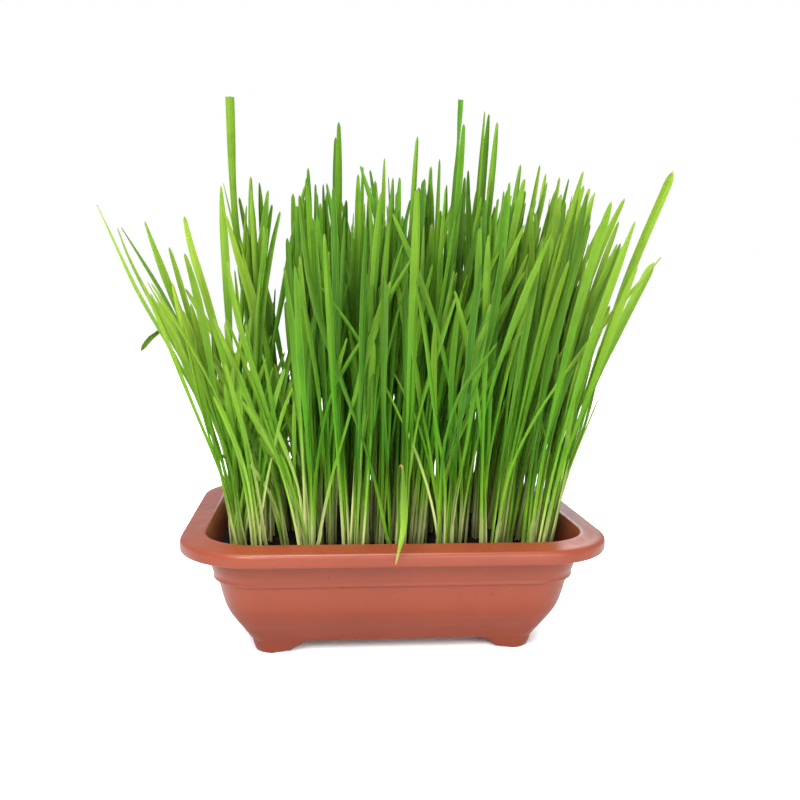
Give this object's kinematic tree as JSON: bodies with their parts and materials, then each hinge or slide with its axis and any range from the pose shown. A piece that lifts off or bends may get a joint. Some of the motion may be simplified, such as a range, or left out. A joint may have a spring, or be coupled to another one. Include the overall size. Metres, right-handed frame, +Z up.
{
  "type": "wheatgrass tray",
  "caption": "Young wheatgrass growing from potting soil in a rectangular terracotta-coloured plastic planter with a rolled rim and corner feet.",
  "frame": {"origin": "under the middle of the planter, on the surface that its four feet stand on", "axes": "+Z up, X along the planter's length, Y across it, -Y towards the front"},
  "size_m": [0.299, 0.184, 0.282],
  "materials": {
    "planter_plastic": "moulded terracotta-coloured polypropylene, satin, with a few dark specks",
    "potting_soil": null,
    "grass_leaf": "soft satin living leaf, pale at the stem and bright green above; fabric stands in for leaf tissue",
    "bark": "rough dry bark"
  },
  "bodies": {
    "root": {"planter": "planter_plastic", "soil": "potting_soil", "tuft_01": "grass_leaf", "tuft_02": "grass_leaf", "tuft_03": "grass_leaf", "tuft_04": "grass_leaf", "tuft_05": "grass_leaf", "tuft_06": "grass_leaf", "tuft_07": "grass_leaf", "tuft_08": "grass_leaf", "tuft_09": "grass_leaf", "tuft_10": "grass_leaf", "tuft_11": "grass_leaf", "tuft_12": "grass_leaf", "tuft_13": "grass_leaf", "tuft_14": "grass_leaf", "tuft_15": "grass_leaf", "tuft_16": "grass_leaf", "tuft_17": "grass_leaf", "tuft_18": "grass_leaf", "tuft_19": "grass_leaf", "tuft_20": "grass_leaf", "tuft_21": "grass_leaf", "tuft_22": "grass_leaf", "tuft_23": "grass_leaf", "tuft_24": "grass_leaf", "tuft_25": "grass_leaf", "tuft_26": "grass_leaf", "tuft_27": "grass_leaf", "tuft_28": "grass_leaf", "tuft_29": "grass_leaf", "tuft_30": "grass_leaf", "tuft_31": "grass_leaf", "tuft_32": "grass_leaf", "tuft_33": "grass_leaf", "tuft_34": "grass_leaf", "tuft_35": "grass_leaf", "tuft_36": "grass_leaf", "tuft_37": "grass_leaf", "tuft_38": "grass_leaf", "tuft_39": "grass_leaf", "tuft_40": "grass_leaf", "tuft_41": "grass_leaf", "tuft_42": "grass_leaf", "tuft_43": "grass_leaf", "tuft_44": "grass_leaf", "tuft_45": "grass_leaf", "tuft_46": "grass_leaf", "tuft_47": "grass_leaf", "tuft_48": "grass_leaf", "tuft_49": "grass_leaf", "tuft_50": "grass_leaf", "tuft_51": "grass_leaf", "tuft_52": "grass_leaf", "bark_chip_1": "bark", "bark_chip_2": "bark", "bark_chip_3": "bark"}
  },
  "joints": []
}
